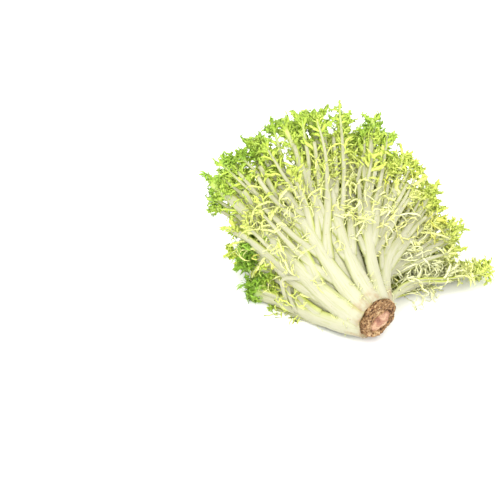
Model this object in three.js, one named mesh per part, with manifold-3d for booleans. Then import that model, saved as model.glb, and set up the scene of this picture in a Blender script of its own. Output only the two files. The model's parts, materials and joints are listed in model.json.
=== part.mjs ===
// A head of curly endive (frisee), cut at the root and lying on its side.
// Five whorls of leaves grow from one short stem. Each leaf is a pale tapering rib with
// deeply cut, curled leaflets along both edges, bent clear of its neighbours.
// Millimetres, +Z up, standing on Z = 0, centred on the origin in plan.

import * as THREE from "three";
import { mergeVertices } from "three/addons/utils/BufferGeometryUtils.js";
import Module from "manifold-3d";

const wasm = await Module();
wasm.setup();

// ---- driving dimensions ----
// A heading is a turn to the right of +Y and a rise above level, both in degrees.

const CROWN = new THREE.Vector3(0, 0, 25); // where the brown root end meets the leaves
const STEM_HEADING = { turn: -38, rise: 4 };
const HEAD_HEADING = { turn: -10, rise: 6 }; // the way the leaves point on average

const STEM = {
  sides: 22,
  radius: 20.5, // of the brown root end
  rootLength: 13, // from the cut face to the crown
  coreRadius: 14, // of the pale core inside the leaves
  coreLength: 52,
  coreTip: 1.5,
};
const CLEARANCE = 0.35; // between leaflets of different leaves
const EDGE = 0.55; // half the thickness of a leaflet and of a rib's edge
const DIP = 0.9; // a leaflet that would reach further below the table is bent another way

// Whorls from the outermost in. foot and radius place the start of each rib along the stem and
// out from its axis, and flare pushes it further out. width and height are the rib's at its foot,
// leaflet the typical length of a leaflet. A tip is [turn, rise, distance from the crown]. Whorls
// with no tips listed spread evenly: share is how much of SPLAY they lean out of the head's heading.
const SPLAY = { right: 62, up: 36, left: 58, down: 12 };
const WHORLS = [
  {
    foot: 1, radius: 18.6, flare: 9, firstAzimuth: -10,
    width: 13, height: 3.8, leaflet: 36, colour: "#b5cc84",
    tips: [
      [52, -5, 156], [27, 20, 182], [2, 38, 210], [-22, 41, 216], [-44, 37, 214],
      [-56, 24, 214], [-63, -8, 136], [-32, -9, 160], [8, -8, 175], [36, -9, 160],
    ],
  },
  {
    foot: 9, radius: 14.6, flare: 8, firstAzimuth: 8,
    width: 10.5, height: 3.4, leaflet: 34, colour: "#c0d48e",
    tips: [
      [40, 7, 174], [15, 33, 190], [-9, 38, 208], [-34, 42, 212], [-52, 31, 212],
      [-58, 9, 150], [-44, -4, 165], [-10, -5, 175], [20, -5, 168], [38, -3, 150],
    ],
  },
  {
    foot: 17, radius: 11.3, flare: 7, firstAzimuth: 27,
    width: 8, height: 2.7, leaflet: 30, colour: "#ccdd98",
    leaves: 10, share: 0.62, length: 186,
  },
  {
    foot: 27, radius: 8.6, flare: 5.5, firstAzimuth: 44,
    width: 6.8, height: 2.1, leaflet: 25, colour: "#dbe6a0",
    leaves: 8, share: 0.42, length: 164,
  },
  {
    foot: 37, radius: 6.1, flare: 3.5, firstAzimuth: 40,
    width: 6.2, height: 1.9, leaflet: 21, colour: "#e8eda6",
    leaves: 5, share: 0.15, length: 145,
  },
];

// Where a rib's cross-sections are, as parts of its length. A leaflet grows from each
// short step, and from every step past the bare part. The last step is the leaf's point.
const STATIONS = {
  outer: [0, 0.1, 0.21, 0.25, 0.32, 0.36, 0.44, 0.49, 0.58, 0.67, 0.76, 0.85, 0.93, 1],
  inner: [0, 0.15, 0.27, 0.32, 0.42, 0.48, 0.58, 0.68, 0.79, 0.9, 1],
};
const SHORT_STEP = 0.065;
const BARE_PART = 0.46;

// A leaflet longer than this has two pairs of side points, and a shorter one has one.
const LONG_LEAFLET = 20;
// Ways to bend and shorten a leaflet, tried in this order until it is clear of the rest.
const BENDS = [1, 0.5, -0.6, 1.5, -1.2, 0, 2];
const LENGTHS = [1, 0.78, 0.55];

// ---- headings and draws ----

const rad = THREE.MathUtils.degToRad;
const blend = (a, b, t) => a.clone().lerp(b, t);
const mixed = (...terms) => terms.reduce((sum, [v, k]) => sum.addScaledVector(v, k), new THREE.Vector3());

function direction(turn, rise) {
  const level = Math.cos(rad(rise));
  return new THREE.Vector3(Math.sin(rad(turn)) * level, Math.cos(rad(turn)) * level, Math.sin(rad(rise)));
}

function frameOf({ turn, rise }) {
  const along = direction(turn, rise);
  const right = direction(turn + 90, 0);
  return { along, right, up: right.clone().cross(along) };
}
const stemFrame = frameOf(STEM_HEADING);
const headFrame = frameOf(HEAD_HEADING);

// A repeatable draw between -1 and 1 for whole-number keys.
function draw(a, b = 0, c = 0, d = 0) {
  const wave = Math.sin(a * 12.9898 + b * 78.233 + c * 37.719 + d * 4.581) * 43758.5453;
  return 2 * (wave - Math.floor(wave)) - 1;
}

// ---- solids ----

function geometryFrom(points, faces) {
  const geometry = new THREE.BufferGeometry();
  geometry.setAttribute("position", new THREE.Float32BufferAttribute(points.flatMap((p) => p.toArray()), 3));
  geometry.setIndex(faces.flat());
  return geometry;
}

function solidFrom(points, faces) {
  const merged = mergeVertices(geometryFrom(points, faces), 1e-5);
  const vertProperties = merged.attributes.position.array;
  const triVerts = new Uint32Array(merged.index.array);
  return new wasm.Manifold(new wasm.Mesh({ numProp: 3, vertProperties, triVerts }));
}

// ---- ribs ----

const givenTip = (turn, rise, distance) => direction(turn, rise).multiplyScalar(distance);

// The tip of a leaf whose whorl spreads by rule: wide to both sides, low on top, flat below.
function spreadTip(whorl, w, i, azimuth) {
  const sideways = Math.cos(azimuth) * whorl.share + 0.05 * draw(w, i, 2);
  const upwards = Math.sin(azimuth) * whorl.share + 0.03 * draw(w, i, 4);
  const turn = HEAD_HEADING.turn + (sideways > 0 ? SPLAY.right : SPLAY.left) * sideways;
  const rise = HEAD_HEADING.rise + (upwards > 0 ? SPLAY.up : SPLAY.down) * upwards;
  return givenTip(turn, rise, whorl.length * (1 + 0.06 * draw(w, i, 3)));
}

// The centre line: along the core at first, then bending out, and level where it would dip.
function ribCurve(whorl, out, tip) {
  const foot = mixed([CROWN, 1], [stemFrame.along, whorl.foot], [out, whorl.radius]);
  const way = tip.clone().normalize();
  const length = tip.length();
  const departure = blend(stemFrame.along, way, 0.45).normalize();
  const flare = whorl.flare * (1 + 0.4 * Math.min(out.z, 0)); // the table leaves less room below
  const shoulder = mixed([foot, 1], [departure, 0.3 * length], [out, flare]);
  const arrival = mixed([way, 1], [headFrame.along, -0.12]).normalize();
  arrival.setZ(Math.max(arrival.z, 0));
  const end = CROWN.clone().add(tip);
  return new THREE.CubicBezierCurve3(foot, shoulder, mixed([end, 1], [arrival, -0.36 * length]), end);
}

// One cross-section of six corners: left edge, two crests of the back, right edge, inner edges.
function sectionAt(leaf, t) {
  const centre = leaf.curve.getPoint(t);
  const along = t === 0 ? stemFrame.along.clone() : leaf.curve.getTangent(t);
  const settled = THREE.MathUtils.smoothstep(t, 0, 0.35);
  const [c, s] = [Math.cos(leaf.azimuth), Math.sin(leaf.azimuth)];
  const spreadOut = mixed([headFrame.right, 0.6 * c], [headFrame.up, 0.35 + s + 1.6 * Math.min(s, 0)]);
  const back = blend(leaf.out, spreadOut.normalize(), settled);
  back.addScaledVector(along, -back.dot(along)).normalize();
  const side = along.clone().cross(back);
  const taper = 0.14 + 0.86 * (1 - t) ** 1.25;
  const waist = 0.78 + 0.22 * Math.min(t / 0.1, 1); // neighbours stand close at the foot
  const half = (leaf.whorl.width / 2) * taper * waist;
  const crest = 0.4 + (leaf.whorl.height - 0.4) * (1 - t) ** 1.1;
  const backCorners = [[-half, EDGE], [-0.4 * half, EDGE + crest], [0.4 * half, EDGE + crest], [half, EDGE]];
  const profile = [...backCorners, [half, -EDGE], [-half, -EDGE]];
  const corners = profile.map(([across, outwards]) => mixed([centre, 1], [side, across], [back, outwards]));
  settleOnTable(corners, 0.4 * crest);
  return { t, along, back, side, corners };
}

// Lifts points that reach below the table, all but a little, which is pressed flat.
function settleOnTable(points, pressed) {
  const lift = Math.max(0, -pressed - Math.min(...points.map((p) => p.z)));
  points.forEach((p) => p.setZ(Math.max(p.z + lift, 0)));
}

function planLeaf(whorl, w, i, count) {
  const azimuth = rad(whorl.firstAzimuth + (360 * i) / count + 2.5 * draw(w, i, 1));
  const out = mixed([stemFrame.right, Math.cos(azimuth)], [stemFrame.up, Math.sin(azimuth)]);
  const tip = whorl.tips ? givenTip(...whorl.tips[i]) : spreadTip(whorl, w, i, azimuth);
  const leaf = { whorl, w, i, azimuth, out, curve: ribCurve(whorl, out, tip), leaflets: [] };
  const stations = w < 2 ? STATIONS.outer : STATIONS.inner;
  leaf.point = leaf.curve.getPoint(1);
  leaf.point.z = Math.max(leaf.point.z, 0);
  leaf.sections = stations.slice(0, -1).map((t) => sectionAt(leaf, t));
  return leaf;
}

// ---- leaflets ----

// The wall of a rib step that a leaflet grows from, seen from outside. side is +1 right, -1 left.
function rootOf(leaf, k, side) {
  const [near, far] = [leaf.sections[k].corners, leaf.sections[k + 1].corners];
  return side > 0 ? [near[3], near[4], far[4], far[3]] : [near[5], near[0], far[0], far[5]];
}

// Joins loop a to loop b with thin faces split alike, and a point out of each narrow side.
function joinLoops(faces, a, b, nearPoint, farPoint) {
  faces.push([a[1], a[2], b[2]], [a[1], b[2], b[1]], [a[3], a[0], b[3]], [a[0], b[0], b[3]]);
  faces.push(...coneOver([a[0], a[1], b[1], b[0]], nearPoint));
  faces.push(...coneOver([a[2], a[3], b[3], b[2]], farPoint));
}
const coneOver = (loop, apex) => loop.map((p, n) => [p, loop[(n + 1) % loop.length], apex]);

// A leaflet as points and faces, or null where it would dip too far below the table. Points 0
// to 3 are its root on the rib. grow fattens it, so that a leaflet found clear keeps its distance.
function makeLeaflet(leaf, k, side, bend, scale, grow) {
  const { w, i, whorl, sections } = leaf;
  const [near, far] = [sections[k], sections[k + 1]];
  const t = (near.t + far.t) / 2;
  const upBlade = Math.max(0, (t - 0.2) / 0.8);
  const swell = 0.5 + 0.6 * Math.sin(Math.PI * upBlade ** 0.9) + 0.12 * draw(w, i, k, side);
  const reach = whorl.leaflet * scale * swell;
  const open = rad(64 - 30 * t + 9 * draw(k, w, i, side));
  const curl = rad((k % 2 ? 34 : -26) * bend + 10 * draw(i, k, w, side));
  const along = blend(near.along, far.along, 0.5).normalize();
  const flat = mixed([along, Math.cos(open)], [near.side, side * Math.sin(open)]);
  const points = rootOf(leaf, k, side);
  const faces = [];
  const centre = mixed(...points.map((p) => [p, 0.25]));
  const stages = reach > LONG_LEAFLET ? 2 : 1;
  let loop = [0, 1, 2, 3];
  for (let stage = 1; stage <= stages + 1; stage++) {
    const angle = curl * (0.2 + 0.55 * stage);
    const way = mixed([flat, Math.cos(angle)], [near.back, Math.sin(angle)]);
    const across = along.clone().addScaledVector(way, -along.dot(way)).normalize();
    const face = way.clone().cross(across).multiplyScalar(side);
    const step = reach / (stages + 1);
    const place = (forward, sideways, lift) =>
      mixed([centre, 1], [way, forward], [across, sideways], [face, lift]);
    if (stage > stages) {
      points.push(place(step + grow, 0, 0));
      faces.push(...coneOver(loop, points.length - 1));
      break;
    }
    const half = reach * (0.13 - 0.035 * stage) + grow;
    const thick = EDGE + grow;
    const signs = [[-1, side], [-1, -side], [1, -side], [1, side]];
    const next = signs.map(([a, f]) => place(step, a * half, f * thick));
    const sway = 0.06 * reach * draw(stage, k, i, w);
    const spike = reach * (0.3 - 0.06 * stage) + grow;
    next.push(place(step * 0.95, -spike, sway), place(step * 1.15, spike, -sway));
    if (Math.min(...next.map((p) => p.z)) < -DIP) return null;
    settleOnTable(next, 0);
    const first = points.length;
    points.push(...next);
    const nextLoop = [first, first + 1, first + 2, first + 3];
    joinLoops(faces, loop, nextLoop, first + 4, first + 5);
    loop = nextLoop;
    centre.copy(mixed(...next.slice(0, 4).map((p) => [p, 0.25])));
  }
  points.forEach((p) => p.setZ(Math.max(p.z, 0)));
  return { k, side, points, faces };
}

const rootCap = [[0, 3, 2], [0, 2, 1]];

// ---- whole leaves ----

// Puts the sections, the leaflets found so far and the point together as one closed mesh.
function leafMesh(leaf) {
  const points = leaf.sections.flatMap((section) => section.corners);
  const faces = [];
  const corner = (k, n) => k * 6 + ((n + 6) % 6);
  const last = leaf.sections.length - 1;
  faces.push([0, 5, 4], [0, 4, 3], [0, 3, 2], [0, 2, 1]);
  for (let k = 0; k < last; k++) {
    for (let n = 0; n < 6; n++) {
      const grown = leaf.leaflets.find((item) => item.k === k && (item.side > 0 ? n === 3 : n === 5));
      const wall = [corner(k, n), corner(k, n + 1), corner(k + 1, n + 1), corner(k + 1, n)];
      if (grown) {
        const shift = points.length - 4;
        points.push(...grown.points.slice(4));
        faces.push(...grown.faces.map((face) => face.map((p) => (p < 4 ? wall[p] : p + shift))));
      } else {
        faces.push([wall[0], wall[1], wall[2]], [wall[0], wall[2], wall[3]]);
      }
    }
  }
  points.push(leaf.point);
  const end = [0, 1, 2, 3, 4, 5].map((n) => corner(last, n));
  faces.push(...coneOver(end, points.length - 1));
  return { points, faces };
}

const overlaps = (a, b) => [0, 1, 2].every((n) => a.min[n] < b.max[n] && b.min[n] < a.max[n]);
const TOUCH = 1e-5; // cubic millimetres of overlap that count as only touching

// True where a solid meets none of the obstacles that skip leaves in.
function isClear(solid, obstacles, skip) {
  const box = solid.boundingBox();
  return obstacles.every((item) => {
    if (skip(item) || !overlaps(box, item.box)) return true;
    const common = solid.intersect(item.solid);
    const volume = common.volume();
    common.delete();
    return volume < TOUCH;
  });
}

// Grows each leaflet in the first bend and length that is clear of everything placed before it.
function growLeaflets(leaf, obstacles) {
  for (let k = 0; k < leaf.sections.length - 1; k++) {
    const [from, to] = [leaf.sections[k].t, leaf.sections[k + 1].t];
    if (from < 0.15 || (to - from > SHORT_STEP && from < BARE_PART)) continue;
    for (const side of [1, -1]) {
      const choices = LENGTHS.flatMap((scale) => BENDS.map((bend) => ({ scale, bend })));
      choices.find(({ scale, bend }) => {
        const fat = makeLeaflet(leaf, k, side, bend, scale, CLEARANCE);
        if (!fat) return false;
        const fatSolid = solidFrom(fat.points, [...fat.faces, ...rootCap]);
        const clearOfOthers = isClear(fatSolid, obstacles, (item) => item.leaf === leaf);
        fatSolid.delete();
        if (!clearOfOthers) return false;
        const bare = makeLeaflet(leaf, k, side, bend, scale, 0);
        const bareSolid = solidFrom(bare.points, [...bare.faces, ...rootCap]);
        const clearOfOwn = isClear(bareSolid, obstacles, (item) => item.leaf !== leaf);
        if (clearOfOwn) {
          leaf.leaflets.push(bare);
          obstacles.push({ leaf, solid: bareSolid, box: bareSolid.boundingBox() });
        } else {
          bareSolid.delete();
        }
        return clearOfOwn;
      });
    }
  }
}

// ---- stem ----

// The root end, roughly cut, and the core that tapers away inside the head.
function stemMesh() {
  const { sides, radius, rootLength, coreRadius, coreLength, coreTip } = STEM;
  const rings = [
    { place: -rootLength, radius: radius * 0.5, rough: 0.4 },
    { place: -rootLength - 0.6, radius: radius * 0.84, rough: 0.5 },
    { place: -rootLength + 1.2, radius: radius * 0.98, rough: 0.9 },
    { place: -rootLength * 0.55, radius, rough: 0.8 },
    { place: -1.5, radius: radius * 0.97, rough: 0.6 },
    { place: 0, radius: radius * 0.9, rough: 0.2 },
    { place: 0.2, radius: coreRadius, rough: 0 },
    { place: coreLength, radius: coreTip, rough: 0 },
  ];
  const { along, right, up } = stemFrame;
  const points = rings.flatMap((ring, r) =>
    Array.from({ length: sides }, (_, n) => {
      const angle = (2 * Math.PI * n) / sides;
      const reach = ring.radius + ring.rough * draw(r, n, 7);
      const place = ring.place + 0.6 * ring.rough * draw(n, r, 8);
      const radial = mixed([right, Math.cos(angle)], [up, Math.sin(angle)]);
      return mixed([CROWN, 1], [along, place], [radial, reach]);
    }),
  );
  const faces = [];
  for (let r = 0; r < rings.length - 1; r++) {
    for (let n = 0; n < sides; n++) {
      const [a, b] = [r * sides + n, r * sides + ((n + 1) % sides)];
      faces.push([a, b + sides, b], [a, a + sides, b + sides]);
    }
  }
  const cutCentre = points.push(mixed([CROWN, 1], [along, 0.4 - rootLength])) - 1;
  const coreCentre = points.push(mixed([CROWN, 1], [along, coreLength])) - 1;
  const lastRing = (rings.length - 1) * sides;
  for (let n = 0; n < sides; n++) {
    const m = (n + 1) % sides;
    faces.push([cutCentre, n, m], [coreCentre, lastRing + m, lastRing + n]);
  }
  return { points, faces };
}

// ---- the head ----

const stem = stemMesh();
const leaves = WHORLS.flatMap((whorl, w) => {
  const count = whorl.tips ? whorl.tips.length : whorl.leaves;
  return Array.from({ length: count }, (_, i) => planLeaf(whorl, w, i, count));
});

const obstacles = [stem, ...leaves.map(leafMesh)].map(({ points, faces }, n) => {
  const solid = solidFrom(points, faces);
  return { leaf: leaves[n - 1], solid, box: solid.boundingBox() };
});
leaves.forEach((leaf) => growLeaflets(leaf, obstacles));

const head = new THREE.Group();
function addMesh(name, { points, faces }, colour, roughness) {
  const material = new THREE.MeshStandardMaterial({ color: colour, roughness, metalness: 0 });
  const mesh = new THREE.Mesh(geometryFrom(points, faces), material);
  mesh.name = name;
  head.add(mesh);
}
addMesh("stem", stem, "#9c6a46", 0.85);
leaves.forEach((leaf) => {
  const name = `leaf_${leaf.w + 1}_${String(leaf.i + 1).padStart(2, "0")}`;
  addMesh(name, leafMesh(leaf), leaf.whorl.colour, 0.55);
});

// The origin is the middle of the head's footprint, on the surface it lies on.
const middle = new THREE.Box3().setFromObject(head).getCenter(new THREE.Vector3());
head.children.forEach((mesh) => mesh.geometry.translate(-middle.x, -middle.y, 0));

export default head;
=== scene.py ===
import json
import math

import bpy
import numpy as np
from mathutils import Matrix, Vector, noise

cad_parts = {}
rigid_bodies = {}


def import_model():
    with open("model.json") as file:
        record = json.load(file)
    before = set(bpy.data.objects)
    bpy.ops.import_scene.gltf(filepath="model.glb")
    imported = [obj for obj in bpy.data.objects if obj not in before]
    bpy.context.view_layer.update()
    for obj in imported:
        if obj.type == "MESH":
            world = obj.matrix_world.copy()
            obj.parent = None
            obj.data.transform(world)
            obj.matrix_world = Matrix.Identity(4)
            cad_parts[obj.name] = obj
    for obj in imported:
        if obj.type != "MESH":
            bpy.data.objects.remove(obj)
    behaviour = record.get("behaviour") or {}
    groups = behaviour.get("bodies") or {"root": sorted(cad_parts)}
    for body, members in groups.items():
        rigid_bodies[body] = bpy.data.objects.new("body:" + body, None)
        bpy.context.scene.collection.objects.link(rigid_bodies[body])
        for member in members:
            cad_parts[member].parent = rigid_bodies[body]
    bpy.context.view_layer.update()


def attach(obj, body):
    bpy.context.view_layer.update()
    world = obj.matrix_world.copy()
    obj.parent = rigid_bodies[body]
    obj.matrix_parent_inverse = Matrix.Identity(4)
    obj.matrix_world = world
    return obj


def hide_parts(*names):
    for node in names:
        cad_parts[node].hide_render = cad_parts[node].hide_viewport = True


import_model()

# ---- The table, the light and the view ----
# The head lies on a plain white studio table under large soft lamps. The view looks down on
# it from the side of the cut root, as someone standing at the table would.

MM = 0.001
CROWN = np.array([20.785, -80.652, 25.0])  # where the brown root end meets the leaves, in mm
# How far down the view looks in degrees, from how far, how wide it is and where it aims from the
# crown, in mm.
LOOK_DOWN, DISTANCE, WIDTH = 35.0, 1200.0, 485.0
LEFT, ABOVE, DEEPER = 113.0, 59.0, 60.0

drop = math.radians(LOOK_DOWN)
look = np.array([0, math.cos(drop), -math.sin(drop)])
look_up = np.array([0, math.sin(drop), math.cos(drop)])
aim = CROWN + ABOVE * look_up + DEEPER * look - [LEFT, 0, 0]



def put(name, data):
    thing = bpy.data.objects.new(name, data)
    bpy.context.scene.collection.objects.link(thing)
    return thing


camera_data = bpy.data.cameras.new("camera")
camera_data.angle = 2 * math.atan(WIDTH / 2 / DISTANCE)
camera = put("camera", camera_data)
camera.location = (aim - DISTANCE * look) * MM
camera.rotation_euler = (math.pi / 2 - drop, 0, 0)
bpy.context.scene.camera = camera
bpy.context.scene.view_settings.view_transform = "Standard"

LAMPS = {
    # name: place, side in metres, watts
    "key_lamp": ((-0.7, -0.5, 1.5), 0.9, 13.5),
    "fill_lamp": ((0.35, -1.3, 1.0), 1.2, 14.5),
    "back_lamp": ((0.3, 1.3, 1.1), 1.0, 6.0),
}
LIT_PLACE = Vector((0, 0, 0.05))  # where the lamps point, in metres
for name, (place, side, watts) in LAMPS.items():
    lamp_data = bpy.data.lights.new(name, "AREA")
    lamp_data.size = side
    lamp_data.energy = watts
    lamp = put(name, lamp_data)
    lamp.location = place
    lamp.rotation_euler = (LIT_PLACE - Vector(place)).to_track_quat("-Z", "Y").to_euler()

SKY_STRENGTH = 1.4
world = bpy.data.worlds.new("studio")
world.use_nodes = True
sky = world.node_tree.nodes["Background"].inputs
sky["Color"].default_value = (1, 1, 1, 1)
sky["Strength"].default_value = SKY_STRENGTH
bpy.context.scene.world = world


class Wire:
    """A socket in a node tree. Arithmetic on it adds Math nodes, and node() adds any other."""

    def __init__(self, tree, socket=None):
        self.tree, self.socket = tree, socket

    def node(self, kind, settings=None, sockets=None, out=0):
        made = self.tree.nodes.new(kind)
        for key, value in (settings or {}).items():
            if key == "stops":
                ramp = made.color_ramp.elements
                while len(ramp) < len(value):
                    ramp.new(1)
                for element, (position, colour) in zip(ramp, value):
                    element.position, element.color = position, (*colour, 1)
            else:
                setattr(made, key, value)
        for key, value in (sockets or {}).items():
            if isinstance(value, Wire):
                self.tree.links.new(value.socket, made.inputs[key])
            else:
                made.inputs[key].default_value = value
        return Wire(self.tree, made.outputs[out])

    def sum(self, operation, a, b):
        return self.node("ShaderNodeMath", {"operation": operation}, {0: a, 1: b})

    def __add__(self, other):
        return self.sum("ADD", self, other)

    def __sub__(self, other):
        return self.sum("SUBTRACT", self, other)

    def __rsub__(self, other):
        return self.sum("SUBTRACT", other, self)

    def __mul__(self, other):
        return self.sum("MULTIPLY", self, other)

    def between(self, low, high):
        """0 below low, 1 above high, and a smooth rise between them."""
        limits = {"Value": self, "From Min": low, "From Max": high}
        return self.node("ShaderNodeMapRange", {"interpolation_type": "SMOOTHSTEP"}, limits)

    def tint(self, low, high):
        """The colour that turns from low to high as this goes from 0 to 1."""
        low, high = [c if isinstance(c, Wire) else (*c, 1) for c in (low, high)]
        return self.node("ShaderNodeMix", {"data_type": "RGBA"}, {0: self, 6: low, 7: high}, 2)

    def noise(self, vector, scale, detail=3.0, roughness=0.55):
        sockets = {"Vector": vector, "Scale": scale, "Detail": detail, "Roughness": roughness}
        return self.node("ShaderNodeTexNoise", None, sockets, "Fac")

    def into(self, shader, label):
        self.tree.links.new(self.socket, shader.inputs[label])


def new_finish(name, fixed):
    """A material, its shader with the fixed sockets set, and a wire to add nodes with."""
    material = bpy.data.materials.new(name)
    material.use_nodes = True
    shader = material.node_tree.nodes["Principled BSDF"]
    for key, value in fixed.items():
        shader.inputs[key].default_value = value
    return material, shader, Wire(material.node_tree)


TABLE_REACH = 4.5  # in metres, each way
TABLE_WHITE = (0.93, 0.93, 0.93)
table_mesh = bpy.data.meshes.new("table")
corners = [(x * TABLE_REACH, y * TABLE_REACH, 0) for x, y in ((-1, -1), (1, -1), (1, 1), (-1, 1))]
table_mesh.from_pydata(corners, [], [(0, 1, 2, 3)])
table = put("table", table_mesh)
white = new_finish("white_table", {"Roughness": 0.6, "Base Color": (*TABLE_WHITE, 1)})[0]
table_mesh.materials.append(white)

# ---- Root end ----
# The stump of the taproot, sliced off below the leaves: corky, pitted bark round a core that
# has dried pinkish brown. Small scabs, the stubs of torn rootlets, stand up from the bark.

SEED = 7
METRE = 1000.0  # in mm
STEM_HEADING = (-38, 4)  # turn to the right of +Y and rise above level, in degrees
DRAW_MIX, DRAW_STRETCH = (12.9898, 78.233, 37.719), 43758.5453


def direction(turn, rise):
    turn, rise = math.radians(turn), math.radians(rise)
    return np.array([math.sin(turn) * math.cos(rise), math.cos(turn) * math.cos(rise), math.sin(rise)])


def unit(v):
    return v / np.maximum(np.linalg.norm(v, axis=-1, keepdims=True), 1e-9)


def smooth(t, low, high):
    """0 at low, 1 at high and a smooth change between, whichever of them is larger."""
    t = np.clip((t - low) / (high - low), 0, 1)
    return t * t * (3 - 2 * t)


def draw(a, b=0, c=0):
    """A repeatable draw between -1 and 1 for numbers that serve as keys."""
    wave = math.sin(a * DRAW_MIX[0] + b * DRAW_MIX[1] + c * DRAW_MIX[2]) * DRAW_STRETCH
    return 2 * (wave - math.floor(wave)) - 1


class Shape:
    """Points in millimetres, faces, and values that each point carries for its finish."""

    VALUES = {"leaf_t": 1, "tip": 1, "rib": 1, "green": 1, "grain": 3, "heart": 1, "relief": 1}

    def __init__(self):
        self.points, self.faces, self.count = [], [], 0
        self.values = {key: [] for key in self.VALUES}

    def add_points(self, points, **values):
        """Rings of points, with the values that all of them or the points of each ring carry."""
        n, m = points.shape[:2]
        self.points.append(points.reshape(-1, 3))
        self.count += n * m
        for key, size in self.VALUES.items():
            value = np.asarray(values.get(key, np.zeros(size)), float).reshape(-1, 1, size)
            self.values[key].append(np.broadcast_to(value, (n, m, size)).reshape(-1, size))

    def add_tube(self, rings, **values):
        """A closed tube through rings of points, each ring counterclockwise as seen from behind."""
        n, m = rings.shape[:2]
        first = self.count
        for k in range(n - 1):
            for j in range(m):
                a, b = first + k * m + j, first + k * m + (j + 1) % m
                self.faces.append((a, a + m, b + m, b))
        last = first + (n - 1) * m
        self.faces.append(tuple(range(first, first + m)))
        self.faces.append(tuple(reversed(range(last, last + m))))
        self.add_points(rings, **values)

    def mesh(self, name, *keys):
        """A mesh in metres whose points carry the values named by keys."""
        mesh = bpy.data.meshes.new(name)
        mesh.from_pydata(np.concatenate(self.points) * MM, [], self.faces)
        for key in keys:
            size = self.VALUES[key]
            attribute = mesh.attributes.new(key, "FLOAT" if size == 1 else "FLOAT_VECTOR", "POINT")
            values = np.concatenate(self.values[key]).ravel()
            attribute.data.foreach_set("value" if size == 1 else "vector", values)
        mesh.shade_smooth()
        return mesh


STEM = direction(*STEM_HEADING)
STEM_RIGHT = direction(STEM_HEADING[0] + 90, 0)
STEM_UP = np.cross(STEM_RIGHT, STEM)

ROOT_RADIUS = 19.4
# From inside the crown, over the bark and the torn rim, to the middle of the cut: the place
# along the stem in mm, and the part of the radius.
ROOT_PROFILE = [
    (2.0, 0.6), (0.4, 0.82), (-1.0, 0.95), (-4.0, 1.0), (-8.0, 1.0), (-10.4, 0.96), (-11.8, 0.87),
    (-11.9, 0.77), (-11.2, 0.68), (-10.6, 0.62), (-11.6, 0.54), (-11.9, 0.3), (-11.7, 0.01),
]
ROOT_AROUND, ROOT_RINGS = 150, 66
ROUNDING = 5  # how many rings of the profile are averaged, for soft edges
CUT_FACE = (9, 11)  # how far below the crown, in mm, the bark gives way to the cut
HEART_EDGE = (0.56, 0.64)  # part of the radius where the heart ends on the cut
HEART_SHIFT = 3.0  # how far the heart lies below the middle of the cut, in mm
HEART_SQUASH, HEART_SQUASHED = 0.72, (0.55, 0.9)  # an oval, rounder towards the rim
HEART_AXIS = unit(STEM_UP - 0.55 * STEM_RIGHT)
# Across the pits that dead rootlets left, across the fibres and across the swellings, in mm.
PIT_SIZE, FIBRE_SIZE, SWELL_SIZE = 1.9, 1.1, 7
PIT_EDGE = 1.5  # the pits are narrower than their spacing by this
FIBRE_RUN = 0.75  # how much the fibres are drawn out from the middle
# How far fibres, pits and swellings stand out, in mm, on the bark and in the heart.
BARK_FIBRE, BARK_PIT, BARK_SWELL = 0.9, 0.9, 1.9
HEART_FIBRE, HEART_SWELL = 0.9, 0.8
MIDDLE_FADE = 4  # they fade within the inner quarter of the radius
# How light they are: the middle tone, and what fibres and pits add to it or take from it. The raised
# fibres, on the bark and in the heart, are lighter and the sunk pits darker: partly the bark's own dark
# pits and golden flakes, partly painted highlight and painted shade that follow the relief.
TONE, TONE_FIBRE, TONE_PIT, TONE_HEART = 0.62, 0.25, 0.75, 0.35


def root_shape():
    shape = Shape()
    profile = np.array(ROOT_PROFILE)
    steps = np.linspace(0, len(profile) - 1, ROOT_RINGS)
    places, parts = (np.interp(steps, range(len(profile)), profile[:, n]) for n in (0, 1))
    window = np.ones(ROUNDING) / ROUNDING
    places, parts = (np.convolve(np.pad(v, ROUNDING // 2, "edge"), window, "valid") for v in (places, parts))
    lean = unit(np.stack([np.gradient(parts * ROOT_RADIUS), -np.gradient(places)], axis=1))
    angles = np.arange(ROOT_AROUND) * math.tau / ROOT_AROUND
    radial = np.cos(angles)[:, None] * STEM_RIGHT - np.sin(angles)[:, None] * STEM_UP
    rings, relief, heart = [], [], []
    for place, part, (forward, outward) in zip(places, parts, lean):
        on_cut = float(smooth(-place, *CUT_FACE))
        centre = CROWN + place * STEM - HEART_SHIFT * on_cut * (1 - part) * STEM_UP
        wood = on_cut * (1 - float(smooth(part, *HEART_EDGE)))
        squash = 1 - (1 - HEART_SQUASH) * on_cut * (1 - float(smooth(part, *HEART_SQUASHED)))
        ring, heights = [], []
        for way in radial:
            lopsided = way + (squash - 1) * np.dot(way, HEART_AXIS) * HEART_AXIS
            spot = centre + part * ROOT_RADIUS * lopsided
            pit = 1 - min(1.0, noise.voronoi(Vector(spot / PIT_SIZE))[0][0] * PIT_EDGE)
            fibre = noise.noise(Vector((spot - FIBRE_RUN * part * ROOT_RADIUS * way) / FIBRE_SIZE))
            swell = noise.noise(Vector(spot / SWELL_SIZE))
            rough = (1 - wood) * (BARK_FIBRE * fibre - BARK_PIT * pit + BARK_SWELL * swell)
            rough += wood * (HEART_FIBRE * fibre + HEART_SWELL * swell)
            ring.append(spot + (outward * way + forward * STEM) * rough * min(1, part * MIDDLE_FADE))
            # Painted highlight and shade: the tone rises with the raised fibres and falls in the sunk pits,
            # over the bark's own colour.
            tone = TONE + (1 - wood) * (TONE_FIBRE * fibre - TONE_PIT * pit) + TONE_HEART * wood * fibre
            heights.append(tone)
        rings.append(ring)
        relief.append(heights)
        heart.append(wood)
    shape.add_tube(np.array(rings)[::-1], heart=np.array(heart)[::-1])
    shape.values["relief"][-1] = np.array(relief)[::-1].reshape(-1, 1)
    return shape


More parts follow.
